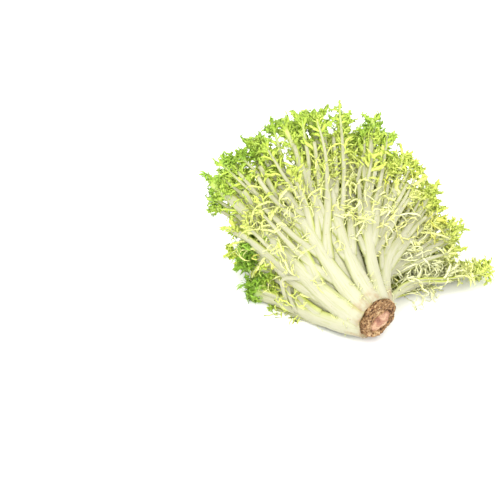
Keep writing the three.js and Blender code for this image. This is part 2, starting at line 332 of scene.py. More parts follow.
SCAB_DENSITY = 2.2e4  # to a square metre
SCAB_SIZES = (0.3, 1.7)  # in mm
SCAB = {"radius": 0.62, "sunk": 0.25, "bend": 0.12, "sides": 5}
SCAB_RINGS = (1, 1.05, 0.6, 0.12)  # parts of its radius, from the foot to the blunt end


def scab_shape():
    """A blunt, slightly bent scab that stands 1 high along Z, for scaling down."""
    shape = Shape()
    angles = -np.arange(SCAB["sides"]) * math.tau / SCAB["sides"]
    rings = []
    for k, part in enumerate(SCAB_RINGS):
        reach = part * SCAB["radius"]
        height = k / (len(SCAB_RINGS) - 1) - SCAB["sunk"]
        bent = SCAB["bend"] * k * draw(k, 3)
        rings.append([(reach * math.sin(a) + bent, reach * math.cos(a), height) for a in angles])
    shape.add_tube(np.array(rings)[:, ::-1] * METRE)
    return shape


root = put("root_end", root_shape().mesh("root_end", "heart", "relief"))
scab = bpy.data.objects.new("scab", scab_shape().mesh("scab"))

BARK_SHINE = {"Subsurface Weight": 0.08, "Subsurface Scale": 0.002, "IOR": 1.4}
BARK_RELIEF = [
    (0.05, (0.04, 0.016, 0.006)), (0.3, (0.155, 0.075, 0.028)), (0.6, (0.33, 0.195, 0.085)),
    (1.0, (0.60, 0.44, 0.25)),
]
HEART_RELIEF = [(0.2, (0.14, 0.05, 0.025)), (0.5, (0.33, 0.145, 0.085)), (0.8, (0.55, 0.36, 0.22))]
GRIT_SCALE, BLOTCH_SCALE, ROOT_DETAIL = 900.0, 130.0, 4.0
GRIT_TONE, BLOTCH_TONE = 0.8, 1.5  # how much they lighten and darken
DRY, HEART_SMOOTHER, GRIT_SMOOTHER = 0.9, 0.25, 0.2  # how rough the bark is, and what lessens it
GRIT_BUMP = {"Strength": 0.7, "Distance": 0.0006}

bark, shader, wire = new_finish("corky_bark", BARK_SHINE)
place = wire.node("ShaderNodeTexCoord", None, None, "Object")
grit = wire.noise(place, GRIT_SCALE, ROOT_DETAIL)
blotch = wire.noise(place, BLOTCH_SCALE, ROOT_DETAIL)
height = wire.node("ShaderNodeAttribute", {"attribute_name": "relief"}, None, "Fac")
in_heart = wire.node("ShaderNodeAttribute", {"attribute_name": "heart"}, None, "Fac")
# The relief tone is lighter on raised fibres and darker in pits, partly painted highlight and painted shade.
shown = height + (grit - 0.5) * GRIT_TONE + (blotch - 0.5) * BLOTCH_TONE
bark_colour = wire.node("ShaderNodeValToRGB", {"stops": BARK_RELIEF}, {"Fac": shown})
heart_colour = wire.node("ShaderNodeValToRGB", {"stops": HEART_RELIEF}, {"Fac": shown})
in_heart.tint(bark_colour, heart_colour).into(shader, "Base Color")
(DRY - in_heart * HEART_SMOOTHER - grit * GRIT_SMOOTHER).into(shader, "Roughness")
wire.node("ShaderNodeBump", None, {**GRIT_BUMP, "Height": grit}, "Normal").into(shader, "Normal")

PRESSED_UNDER = 0.004  # in metres


def settle(mesh):
    """Presses flat, just above the table, what would reach into it."""
    points = np.empty(len(mesh.vertices) * 3)
    mesh.vertices.foreach_get("co", points)
    points = points.reshape(-1, 3)
    low = points[:, 2] < PRESSED_UNDER
    points[low, 2] = PRESSED_UNDER * np.exp((points[low, 2] - PRESSED_UNDER) / PRESSED_UNDER)
    mesh.vertices.foreach_set("co", points.ravel())
    mesh.update()


class Growth(Wire):
    """A geometry tree with named inputs, which is worked out and left as a plain mesh."""

    def __init__(self, name, inputs):
        super().__init__(bpy.data.node_groups.new(name, "GeometryNodeTree"))
        face = self.tree.interface
        self.sockets = {}
        for label, kind in inputs.items():
            self.sockets[label] = face.new_socket(label, in_out="INPUT", socket_type="NodeSocket" + kind)
        face.new_socket("Grown", in_out="OUTPUT", socket_type="NodeSocketGeometry")
        group = self.tree.nodes.new("NodeGroupInput")
        self.given = {label: Wire(self.tree, group.outputs[label]) for label in inputs}

    def stored(self, name, data_type):
        settings = {"data_type": data_type}
        return self.node("GeometryNodeInputNamedAttribute", settings, {"Name": name}, "Attribute")

    def drawn(self, low, high):
        """A random number between two values for each point."""
        limits = {2: low, 3: high, "Seed": self.given["Seed"]}
        return self.node("FunctionNodeRandomValue", {"data_type": "FLOAT"}, limits, 1)

    def end(self, *parts):
        """Joins the parts, makes their instances real and gives them the finish."""
        joined = self.node("GeometryNodeJoinGeometry")
        for part in parts:
            self.tree.links.new(part.socket, joined.socket.node.inputs[0])
        real = self.node("GeometryNodeRealizeInstances", None, {"Geometry": joined})
        finished = {"Geometry": real, "Material": self.given["Finish"]}
        done = self.node("GeometryNodeSetMaterial", None, finished)
        self.tree.links.new(done.socket, self.tree.nodes.new("NodeGroupOutput").inputs[0])

    def apply(self, piece, **values):
        modifier = piece.modifiers.new(self.tree.name, "NODES")
        modifier.node_group = self.tree
        for label, value in values.items():
            modifier[self.sockets[label].identifier] = value
        grown = piece.evaluated_get(bpy.context.evaluated_depsgraph_get())
        mesh = bpy.data.meshes.new_from_object(grown)
        piece.modifiers.remove(modifier)
        piece.data = mesh
        settle(mesh)


NOT_HEART = 0.3  # scabs stand only where less than this is heart
scabs = Growth("scabs_on_bark", {
    "Bark": "Geometry", "Scab": "Object", "Density": "Float", "Smallest": "Float", "Largest": "Float",
    "Seed": "Int", "Finish": "Material",
})
less = {"data_type": "FLOAT", "operation": "LESS_THAN"}
on_bark = scabs.node("FunctionNodeCompare", less, {0: scabs.stored("heart", "FLOAT"), 1: NOT_HEART})
sown = scabs.node("GeometryNodeDistributePointsOnFaces", None, {
    "Mesh": scabs.given["Bark"], "Selection": on_bark,
    "Density": scabs.given["Density"], "Seed": scabs.given["Seed"],
})
upright = Wire(scabs.tree, sown.socket.node.outputs["Rotation"])
one_scab = scabs.node("GeometryNodeObjectInfo", None, {"Object": scabs.given["Scab"]}, "Geometry")
scab_size = scabs.drawn(scabs.given["Smallest"], scabs.given["Largest"])
standing = scabs.node("GeometryNodeInstanceOnPoints", None, {
    "Points": sown, "Instance": one_scab, "Rotation": upright, "Scale": scab_size,
})
scabs.end(standing, scabs.given["Bark"])
scabs.apply(
    root, Scab=scab, Density=SCAB_DENSITY, Smallest=SCAB_SIZES[0] * MM, Largest=SCAB_SIZES[1] * MM,
    Seed=SEED, Finish=bark,
)
bpy.data.objects.remove(scab)
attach(root, "root")
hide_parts("stem")

# ---- Leaves, whorl by whorl ----
# Thin watery leaves, blanched white to yellow inside the head and green only where light
# reached them. Each grows from the stem on a thick pale rib, which follows the stem for a
# little and then bends out, and the ribs of the outer ones fork into side ribs.

HEAD_HEADING = (-10, 6)  # the way the leaves point on average
HEAD = direction(*HEAD_HEADING)
HEAD_RIGHT = direction(HEAD_HEADING[0] + 90, 0)
HEAD_UP = np.cross(HEAD_RIGHT, HEAD)
SPLAY = {"right": 62, "up": 36, "left": 58, "down": 12}
# From the outside in. foot, radius and flare are where a rib leaves the stem and how far it bows
# out, in mm. tips are the turn, the rise and the distance of each leaf's end. Whorls without tips
# spread evenly, by the share of the splay that is theirs.
WHORLS = [
    dict(
        foot=1, radius=18.6, flare=9, first=-10, width=13.5, height=5.6, leaflet=36,
        tips=[
            (52, -5, 156), (27, 20, 182), (2, 38, 210), (-22, 41, 216), (-44, 37, 214),
            (-56, 24, 214), (-63, -8, 136), (-32, -9, 160), (8, -8, 175), (36, -9, 160),
        ],
    ),
    dict(
        foot=9, radius=14.6, flare=8, first=8, width=12.8, height=5.0, leaflet=34,
        tips=[
            (40, 7, 174), (15, 33, 190), (-9, 38, 208), (-34, 42, 212), (-52, 31, 212),
            (-58, 9, 150), (-44, -4, 165), (-10, -5, 175), (20, -5, 168), (38, -3, 150),
        ],
    ),
    dict(
        foot=17, radius=11.3, flare=7, first=27, width=9, height=3.2, leaflet=32,
        leaves=10, share=0.62, length=186,
    ),
    dict(
        foot=27, radius=8.6, flare=5.5, first=44, width=7, height=2.5, leaflet=28,
        leaves=8, share=0.42, length=164,
    ),
    dict(
        foot=37, radius=6.1, flare=3.5, first=40, width=6, height=2.1, leaflet=26,
        leaves=5, share=0.15, length=145,
    ),
]
# How far single leaves stray: round the stem in degrees, sideways, upwards and in length.
STRAY_ROUND, STRAY_ASIDE, STRAY_UP, STRAY_LENGTH = 2.5, 0.05, 0.03, 0.06
WAVER, WAVES = 0.011, 7  # of a rib's middle line, as a part of its length and in radians over it
SHOULDER, ARRIVAL = 0.3, 0.36  # how far the handles of a rib's curve reach, as parts of its distance
ALONG_STEM = 0.55  # how much the shoulder still follows the stem
STRAIGHTER = 0.12  # how much the end turns back from the way of the whole head
FLATTER_FLARE = 0.4  # how much less the ribs underneath bow out
# The ends of the leaves: what was trimmed off them in all, more on the right, less furthest right.
TRIMMED, TRIMMED_RIGHT, TRIMMED_EDGE = 0.92, (0.07, 8, 20), (0.11, 42, 50)
BACK_TURNED = 0.35  # the part of its length over which a rib's back turns outward
# Where round the stem the ribs bow out furthest and where they are fattest, in degrees.
MOST_BOWED, FLESHIEST = 205, 190
BOW = 9  # how far the shoulder moves out there, in mm
BARED = 2.5 * np.array([-0.35, -0.8, 0.1])  # the way the backs of the bowed ribs turn
FATTER, THICKER = 0.6, 0.35  # how much broader and thicker they are there
FINING = {"resting": 0.7, "raised": 0.3}  # how much less they get thinner on their way


class Rib:
    """The centre line of a rib or a side rib, with its headings and its width."""

    def __init__(self, ends, turned, width, height, leaf_span):
        self.ends, self.turned = [np.asarray(p, float) for p in ends], turned
        self.width, self.height, self.leaf_span = width, height, leaf_span
        self.fining = 1.0  # how much thinner it gets on its way
        self.length = np.linalg.norm(self.ends[3] - self.ends[0])
        self.waver = WAVER * self.length * draw(self.length, width)

    def at(self, t):
        """Places, headings, backs and sides at the parts t of the rib's length."""
        t = np.atleast_1d(np.asarray(t, float))[:, None]
        a, b, c, d = self.ends
        u = 1 - t
        place = u**3 * a + 3 * u * u * t * b + 3 * u * t * t * c + t**3 * d
        along = unit(3 * u * u * (b - a) + 6 * u * t * (c - b) + 3 * t * t * (d - c))
        back = self.turned(t)
        back = unit(back - along * np.sum(back * along, axis=1, keepdims=True))
        side = np.cross(along, back)
        return place + side * self.waver * np.sin(WAVES * t) * smooth(t, 0, 0.5), along, back, side

    def one(self, t):
        """The same at a single part of its length."""
        return (v[0] for v in self.at(t))

    def leaf_part(self, t):
        """How far along the whole leaf the part t of this rib is."""
        start, end = self.leaf_span
        return start + (end - start) * t


def leaf_count(whorl):
    return len(whorl["tips"]) if "tips" in whorl else whorl["leaves"]


def leaf_rib(w, i):
    """The main rib of leaf i of whorl w."""
    whorl = WHORLS[w]
    stray = STRAY_ROUND * draw(w, i, 1)
    azimuth = math.radians(whorl["first"] + 360 * i / leaf_count(whorl) + stray)
    c, s = math.cos(azimuth), math.sin(azimuth)
    out = c * STEM_RIGHT + s * STEM_UP
    if "tips" in whorl:
        turn, rise, distance = whorl["tips"][i]
    else:
        sideways = c * whorl["share"] + STRAY_ASIDE * draw(w, i, 2)
        upwards = s * whorl["share"] + STRAY_UP * draw(w, i, 4)
        turn = HEAD_HEADING[0] + (SPLAY["right"] if sideways > 0 else SPLAY["left"]) * sideways
        rise = HEAD_HEADING[1] + (SPLAY["up"] if upwards > 0 else SPLAY["down"]) * upwards
        distance = whorl["length"] * (1 + STRAY_LENGTH * draw(w, i, 3))
    way = direction(turn, rise)
    foot = CROWN + whorl["foot"] * STEM + whorl["radius"] * out
    flare = whorl["flare"] * (1 + FLATTER_FLARE * min(out[2], 0))
    leaving = unit(ALONG_STEM * STEM + (1 - ALONG_STEM) * way)
    shoulder = foot + SHOULDER * distance * leaving + flare * out
    arrival = unit(way - STRAIGHTER * HEAD)
    arrival[2] = max(arrival[2], 0)
    (less, *right), (more, *edge) = TRIMMED_RIGHT, TRIMMED_EDGE
    end = CROWN + (TRIMMED - less * smooth(turn, *right) + more * smooth(turn, *edge)) * distance * way
    spread = unit(0.6 * c * HEAD_RIGHT + (0.35 + s + 1.6 * min(s, 0)) * HEAD_UP)

    def turned(t):
        return out + (spread - out) * smooth(t, 0, BACK_TURNED)

    bowed, fleshy = (max(0.0, math.cos(azimuth - math.radians(at))) ** 3 for at in (MOST_BOWED, FLESHIEST))
    shoulder = shoulder + BOW * bowed * out * [1, 1, 0]
    spread = unit(spread + bowed * BARED)
    ends = (foot, shoulder, end - ARRIVAL * distance * arrival, end)
    width, height = whorl["width"] * (1 + FATTER * fleshy), whorl["height"] * (1 + THICKER * fleshy)
    rib = Rib(ends, turned, width, height, (0.0, 1.0))
    rib.turn, rib.rise = turn, rise
    rib.fining = 1 - FINING["resting" if rise < 0 else "raised"] * fleshy
    return rib


# A rib in section, as (part of its half width, part of its height): fleshy and faintly ridged
# outside, hollowed inside. Counterclockwise as seen from the foot.
SECTION = np.array([
    (0, -0.02), (0.5, -0.14), (0.88, -0.16), (1, 0.1), (0.88, 0.46), (0.7, 0.7), (0.5, 0.83),
    (0.28, 0.98), (0, 0.93), (-0.28, 0.98), (-0.5, 0.83), (-0.7, 0.7), (-0.88, 0.46), (-1, 0.1),
    (-0.88, -0.16), (-0.5, -0.14),
])
RIB_STEPS, BRANCH_STEPS = 26, 14
UNEVEN = 0.16  # how far its skin strays, in mm
GRAIN_ACROSS, GRAIN_RUN, GRAIN_APART = 4, 40, 3.7  # of the streaks: across, in mm along, between ribs
FOOT_BURIED = 4.0  # how far it goes on into the stem, in mm
FLATTENS = 0.62  # how much of its height it loses on its way


def rib_half(rib, t):
    """Half the rib's width: broad at the foot, still thick where the leaf was trimmed."""
    taper = 1.28 - 0.36 * smooth(t, 0, 0.34) - rib.fining * (0.2 * t + 0.34 * smooth(t, 0.4, 1))
    return rib.width / 2 * taper


def add_rib(shape, rib, green, key, steps, buried=0.0):
    """Adds a rib's skin. Its foot goes on for the buried length into what it grows from."""
    t = np.linspace(0, 1, steps)
    place, along, back, side = rib.at(t)
    place[0] -= buried * along[0]
    half = rib_half(rib, t)[:, None, None]
    height = (rib.height * (1 - FLATTENS * rib.fining * t))[:, None, None]
    across, out = SECTION[None, :, :1], SECTION[None, :, 1:]
    wander = [[UNEVEN * draw(key, k, j) for j in range(len(SECTION))] for k in range(steps)]
    lift = out * height + np.array(wander)[..., None]
    rings = place[:, None] + side[:, None] * across * half + back[:, None] * lift
    run, apart = (t * rib.length / GRAIN_RUN)[:, None], np.full((1, 1), key * GRAIN_APART)
    grain = np.stack(np.broadcast_arrays(GRAIN_ACROSS * across[..., 0], run, apart), axis=-1)
    shape.add_tube(rings, leaf_t=rib.leaf_part(t), rib=1.0, green=green)
    shape.values["grain"][-1] = grain.reshape(-1, 3)
    # The hollow side that faces the heart lies in shade; it gets yellow-green painted shade, partly the
    # rib's own green.
    green_and_shaded_side = np.broadcast_to(1 - out[..., 0], (steps, len(SECTION)))
    shape.values["tip"][-1] = green_and_shaded_side.reshape(-1, 1)


# Every rib carries deeply cut leaflets: white threads low down, toothed fringes further up and
# ruffled green frills at the end. Each is a thin strip that curls as it grows and divides again.
LEAFLETS = {
    # curl, bend and twist in degrees over the strip; width and offshoot as parts of its length;
    # long is how long it is next to the other kinds
    "thread": dict(
        count=10, steps=9, curl=250, bend=110, twist=90, width=0.0135, teeth=0.3,
        offshoots=2, offshoot=0.6, sub_steps=4, long=1.35,
    ),
    "fringe": dict(
        count=11, steps=7, curl=190, bend=80, twist=70, width=0.022, teeth=0.8,
        offshoots=4, offshoot=0.45, sub_steps=2, long=1.0,
    ),
    "frill": dict(
        count=11, steps=5, curl=100, bend=40, twist=50, width=0.062, teeth=0.9,
        offshoots=5, offshoot=0.45, sub_steps=2, long=0.7,
    ),
}
CURL_RANGE, CURL_WAYS = (0.45, 1.25), [-1, -1, -1, 1]
CURLS_MORE = (0.4, 1.2)  # of the curl: at the foot, and added up to the end
TOOTH_RANGE, TOOTHLESS = (0.5, 1.2), 0.97  # no teeth beyond this part of the length
RUFFLE = 0.7  # how far the edges stand off the face, as a part of the half width
STRIP_THICK, LEAST_THICK, LEAST_HALF = 0.2, 0.006, 0.003
STREAKS_ALONG, STREAKS_APART = 6, 9
OFFSHOOT = {"opens": (32, 62), "lifts": (-35, 35), "rolls": (-30, 30), "length": (0.7, 1.25), "width": 0.72}


def turned_frame(axes, yaw, pitch, roll):
    """Heading, across and face turned by angles in degrees about face, across and heading."""
    def swing(a, b, angle):
        c, s = math.cos(math.radians(angle)), math.sin(math.radians(angle))
        return c * a + s * b, c * b - s * a

    heading, across, face = axes
    heading, across = swing(heading, across, yaw)
    heading, face = swing(heading, face, pitch)
    across, face = swing(across, face, roll)
    return np.array([heading, across, face])


def add_strip(shape, rng, start, axes, length, steps, style, width, tip_span):
    """A tapering strip that curls from start. Returns the places and axes along it."""
    curl = style["curl"] * rng.uniform(*CURL_RANGE) * rng.choice(CURL_WAYS) / steps
    bend = style["bend"] * rng.uniform(-1, 1) / steps
    twist = style["twist"] * rng.uniform(-1, 1) / steps
    places, frames = [np.array(start, float)], [np.array(axes)]
    for k in range(steps):
        ease = CURLS_MORE[0] + CURLS_MORE[1] * (k + 1) / steps
        axes = turned_frame(axes, bend, curl * ease, twist)
        places.append(places[-1] + axes[0] * length / steps)
        frames.append(axes)
    places, frames = np.array(places), np.array(frames)
    s = np.linspace(0, 1, steps + 1)
    half = width * (0.75 + 0.45 * np.sin(math.pi * s)) * (1 - s**3.0) + LEAST_HALF
    tooth = style["teeth"] * (np.arange(steps + 1) % 2) * rng.uniform(*TOOTH_RANGE, steps + 1)
    toothed = half * (s < TOOTHLESS)
    left_half, right_half = half + tooth * toothed, half + np.roll(tooth, 1) * toothed
    ruffle = half * RUFFLE * rng.uniform(-1, 1, steps + 1)
    across, face = frames[:, 1], frames[:, 2]
    thick = face * (np.maximum(STRIP_THICK * half, LEAST_THICK) * (1 - 0.7 * s))[:, None]
    left = places - across * left_half[:, None] + face * ruffle[:, None]
    right = places + across * right_half[:, None] + face * np.roll(ruffle, 2)[:, None]
    rings = np.stack([left, places + thick, right, places - thick], axis=1)
    grain = np.stack([s * 0, s * length * STREAKS_ALONG, s * 0 + rng.uniform(0, STREAKS_APART)], axis=-1)
    shape.add_tube(rings, tip=tip_span[0] + (tip_span[1] - tip_span[0]) * s, grain=grain)
    return places, frames


def leaflet_shape(style, rng):
    """One divided leaflet 1 long along X, its face to +Z, for scaling down."""
    shape = Shape()
    steps = style["steps"]
    places, frames = add_strip(shape, rng, (0, 0, 0), np.eye(3), 1, steps, style, style["width"], (0, 1))
    for n in range(style["offshoots"]):
        k = 1 + round((steps - 3) * (n + 0.5 * rng.random()) / max(style["offshoots"] - 1, 1))
        k = min(k, steps - 1)
        side = 1 if n % 2 else -1
        s = k / steps
        opens = side * rng.uniform(*OFFSHOOT["opens"])
        lifts, rolls = rng.uniform(*OFFSHOOT["lifts"]), rng.uniform(*OFFSHOOT["rolls"])
        axes = turned_frame(frames[k], opens, lifts, rolls)
        length = style["offshoot"] * rng.uniform(*OFFSHOOT["length"]) * (1.1 - 0.45 * s)
        width = style["width"] * OFFSHOOT["width"]
        span = (s, min(s + 0.45, 1))
        add_strip(shape, rng, places[k], axes, length, style["sub_steps"], style, width, span)
    shape.points = [p * METRE for p in shape.points]
    return shape


leaflets = bpy.data.collections.new("leaflets")
kinds = {}
for family, (kind, style) in enumerate(LEAFLETS.items()):
    start = len(leaflets.objects)
    kinds[kind] = (start, style["count"])
    for variant in range(style["count"]):
        rng = np.random.default_rng(SEED + 100 * family + variant)
        name = f"leaflet_{start + variant:02d}"
        mesh = leaflet_shape(style, rng).mesh(name, "tip", "grain")
        leaflets.objects.link(bpy.data.objects.new(name, mesh))

# A seat is a loose point that knows its heading, its face, its size and which leaflet grows on it.
growth = Growth("leaflets_on_ribs", {
    "Ribs": "Geometry", "Leaflets": "Collection", "Sway": "Float", "Seed": "Int", "Finish": "Material",
})
split = {"Geometry": growth.given["Ribs"], "Selection": growth.stored("seat", "BOOLEAN")}
seats = growth.node("GeometryNodeSeparateGeometry", {"domain": "POINT"}, split, "Selection")
ribs_alone = Wire(growth.tree, seats.socket.node.outputs["Inverted"])
facing = growth.node("FunctionNodeAxesToRotation", {"primary_axis": "X", "secondary_axis": "Z"}, {
    "Primary Axis": growth.stored("heading", "FLOAT_VECTOR"),
    "Secondary Axis": growth.stored("face", "FLOAT_VECTOR"),
})
sway = growth.drawn(growth.given["Sway"] * -1, growth.given["Sway"])
rolled = growth.node("FunctionNodeAxisAngleToRotation", None, {"Axis": (1, 0, 0), "Angle": sway})
turned = growth.node(
    "FunctionNodeRotateRotation", {"rotation_space": "LOCAL"}, {"Rotation": facing, "Rotate By": rolled}
)
variants = growth.node("GeometryNodeCollectionInfo", None, {
    "Collection": growth.given["Leaflets"], "Separate Children": True, "Reset Children": True,
})
growth.end(ribs_alone, growth.node("GeometryNodeInstanceOnPoints", None, {
    "Points": seats, "Instance": variants, "Pick Instance": True,
    "Instance Index": growth.stored("kind", "INT"),
    "Rotation": turned, "Scale": growth.stored("size", "FLOAT"),
}))

# Colours along a leaf from white foot to green tip. The outer ramp is paler and the inner one more
# yellow: partly the head's own blanched heart, partly painted light and shade, pale where the outside
# is lit and deep yellow in the shaded inside of the head.
OUTER_RIPENING = [
    (0.0, (0.84, 0.85, 0.48)), (0.3, (0.82, 0.85, 0.31)), (0.52, (0.74, 0.83, 0.17)),
    (0.78, (0.57, 0.74, 0.10)), (1.0, (0.27, 0.48, 0.04)),
]
INNER_RIPENING = [
    (0.0, (0.83, 0.82, 0.30)), (0.3, (0.79, 0.79, 0.14)), (0.52, (0.70, 0.76, 0.09)),
    (0.78, (0.55, 0.70, 0.07)), (1.0, (0.30, 0.51, 0.04)),
]
# Each: along the back of the rib, in its streaks, and on the side that faces the heart. That
# last yellow-green is partly the rib's own green and partly painted shade: the side that faces
# the heart lies in shade, and the colour stands in for light that the leaves filter into it.
OUTER_RIB = ((0.455, 0.445, 0.31), (0.35, 0.37, 0.135), (0.40, 0.45, 0.07))
# The inner whorls' ribs are yellower in the same way: partly blanched, partly painted shade of the deep
# inside of the head.
INNER_RIB = ((0.47, 0.475, 0.14), (0.36, 0.39, 0.06), (0.42, 0.46, 0.045))
RIB_BROWNED = (0.32, 0.16, 0.05)
FLESH = {
    "Subsurface Weight": 0.1, "Subsurface Radius": (1.0, 1.0, 0.4), "Subsurface Scale": 0.003, "IOR": 1.42,
}
BLOTCHES, STREAKS, SPECKS = (55.0,), (2.2, 4.0), (420.0, 1.0)  # scale and detail
SPECKED = (0.76, 0.8)
# Between which parts of a leaf's length the blade and the rib get green, the inner side of the
# rib takes its yellow-green, partly its own and partly painted shade, and the trimmed end takes the blade's.
BLADE_GREENS, RIB_GREENS, GREEN_AND_SHADED_SIDE, TRIMMED_END = (0.5, 1.0), (0.6, 1.0), (0.05, 0.5), (0.88, 1.04)
BY_END, BY_LENGTH, BY_TIP, BY_BLOTCH = 0.6, 0.12, 0.16, 0.45  # what greens a blade
STREAK_LEVEL, STREAK_SHARP, STREAK_FADE = 0.44, 2.4, 0.2
BROWN_FOOT, BROWN_BLOTCH, BROWNING = 9, 3.4, (0.2, 1.4)
MATT, RIB_SHINE, BLOTCH_SHINE = 0.62, 0.2, 0.3
STREAK_BUMP = {"Strength": 0.6, "Distance": 0.0009}


def leaf_finish(name, ripening, rib_colours, green_shift):
    """Blade and rib in one finish. The ribs are streaked, brown at the foot, here and there specked, and
    yellow-green on the shaded side that faces the heart, partly painted shade.
    """
    material, shader, wire = new_finish(name, FLESH)

    def carried(key, out="Fac"):
        return wire.node("ShaderNodeAttribute", {"attribute_name": key}, None, out)

    place = wire.node("ShaderNodeTexCoord", None, None, "Object")
    leaf_t, tip, green, rib = map(carried, ("leaf_t", "tip", "green", "rib"))
    grain = carried("grain", "Vector")
    blotch = wire.noise(place, *BLOTCHES)
    streak = wire.noise(grain, *STREAKS)
    ripe = leaf_t.between(*BLADE_GREENS) * BY_END + leaf_t * BY_LENGTH + tip * BY_TIP + green
    ripe = ripe + (blotch - 0.5) * BY_BLOTCH + green_shift
    blade = wire.node("ShaderNodeValToRGB", {"stops": ripening}, {"Fac": ripe})
    rib_green = (streak - STREAK_LEVEL) * STREAK_SHARP + leaf_t.between(*RIB_GREENS) * STREAK_FADE
    on_back = rib_green.between(0.0, 1.0).tint(*rib_colours[:2])
    # Painted shade: the side that faces the heart turns yellow-green, partly the rib's own green.
    green_and_shaded_side = tip.between(0.1, 0.75) * (leaf_t.between(*GREEN_AND_SHADED_SIDE) * 0.75 + 0.25)
    sound = green_and_shaded_side.tint(on_back, rib_colours[2])
    browned = (1 - leaf_t * BROWN_FOOT + (blotch - 0.5) * BROWN_BLOTCH).between(*BROWNING)
    speck = wire.noise(place, *SPECKS).between(*SPECKED)
    old = (browned * 0.7 + speck * 0.8).between(0.0, 1.0).tint(sound, RIB_BROWNED)
    rib_colour = leaf_t.between(*TRIMMED_END).tint(old, blade)
    rib.tint(blade, rib_colour).into(shader, "Base Color")
    (MATT - rib * RIB_SHINE + (blotch - 0.5) * BLOTCH_SHINE).into(shader, "Roughness")
    wire.node("ShaderNodeBump", None, {**STREAK_BUMP, "Height": streak}, "Normal").into(shader, "Normal")
    return material


FINISHES = {
    "outer_leaf": leaf_finish("outer_leaf_green", OUTER_RIPENING, OUTER_RIB, green_shift=-0.02),
    "inner_leaf": leaf_finish("inner_leaf_yellow", INNER_RIPENING, INNER_RIB, green_shift=-0.14),
    "heart_leaf": leaf_finish("heart_leaf_pale", INNER_RIPENING, INNER_RIB, green_shift=-0.3),
}

# Side ribs fork off to both sides in turn. Some are snapped, and one is nearly as thick as the rib.
# All lengths are parts of the rib's.
BRANCHES = [8, 8, 6, 4, 0]  # of a leaf in each whorl
SNAPPED, TWIN = (2, 5), 1
FORK = {"first": 0.2, "apart": 0.075, "stray": 0.03, "runs": (0.42, 0.62), "spread": (0.3, 0.5)}
LAST_END, LAST_END_LEFT, END_STRAY = 0.95, 1.0, 0.06  # the ends of leaves far left are fuller
SINK, SNAPPED_SINK, SNAPPED_LESS, SNAPPED_FINING = (-0.12, 0.16), -0.08, 0.1, 0.35
FORK_THICK, TWIN_THICK = 0.58, 0.76


def side_rib(rng, rib, n, openness):
    """A branch that forks off a rib and runs on beside it."""
    side = 1 if n % 2 else -1
    t = FORK["first"] + FORK["apart"] * n + FORK["stray"] * rng.uniform(-1, 1)
    snapped = n in SNAPPED
    furthest = LAST_END_LEFT if rib.turn < -15 else LAST_END
    reach = min(t + rng.uniform(*FORK["runs"]), furthest - END_STRAY * rng.random())
    reach -= SNAPPED_LESS * snapped
    length = (reach - t) * rib.length
    place, along, back, across = rib.one(t)
    far_place, far_along, far_back, far_across = rib.one(reach)
    spread = length * rng.uniform(*FORK["spread"]) * (0.3 + 0.7 * openness)
    sink = SNAPPED_SINK if snapped else rng.uniform(*SINK)
    far = far_place + side * far_across * spread - far_back * length * sink
    start = place + side * across * rib_half(rib, t) * 0.3
    leave, arrive = unit(along + 0.5 * side * across), unit(far_along + 0.2 * side * far_across)
    ends = (start, place + 0.4 * length * leave, far - 0.4 * length * arrive, far)

    def turned(part):
        return back + (far_back - back) * part

    stout = TWIN_THICK if n == TWIN else FORK_THICK
    width, height = rib.width * stout * (1 - 0.5 * t), rib.height * stout * (1 - 0.4 * t)
    branch = Rib(ends, turned, width, height, (t, reach))
    branch.fining = SNAPPED_FINING if snapped else 1.0
    return branch


# Where the leaflets sit. Lists give a value for each whorl; ranges are drawn from.
SEAT_GAP = [8.8, 8.2, 5.6, 5.1, 6.6]  # between leaflets of one side of a rib, in mm
BRANCH_GAP = 1.15  # how much wider it is on side ribs
FIRST_SEAT = [0.2, 0.14, 0.07, 0.05, 0.05]
FIRST_ON_FORK, FIRST_LOW_RIGHT = 0.2, 0.05
CROWDING = 0.65  # below 1, the leaflets stand closer towards the tip
OPENS, OPENS_LESS, OPEN_STRAY = 62, 30, 14  # their angle off the rib at its foot, in degrees
OUTER_LEANS, INNER_LEANS, STRAY_LEANS = (22, 80), (-5, 65), (-60, 5)  # towards the heart
STRAY_TIPS, STRAY_OUTER, STRAY_INNER = 0.3, 0.04, 0.14  # the share of them that lean another way
LATER = [0, 0, 0.1, 0.3, 0.35]  # how much further up the inner leaves threads still grow
THREADS_END, FRINGES_END, STAGE_STRAY = 0.46, 0.78, 0.12
LEAFLET_SIZES, SWELL = (0.75, 1.2), (0.55, 0.5)
TUFT = [20, 18, 10, 6, 6]  # frills crowded round the end of each leaf
TUFT_MORE = 8  # of them on the low leaves furthest left
TUFT_SIZES, TUFT_OPENS, TUFT_TURN = (0.34, 0.58), (8, 64), 2.4
TUFT_START, TUFT_RUN = 0.99, 0.14
TORN = [6, 6, 0, 0, 0]  # shreds at the foot of each leaf
TORN_SIZES, TORN_START, TORN_APART = (6, 11), 0.015, 0.02


def pick(rng, kind):
    start, variants = kinds[kind]
    return start + int(rng.integers(variants))


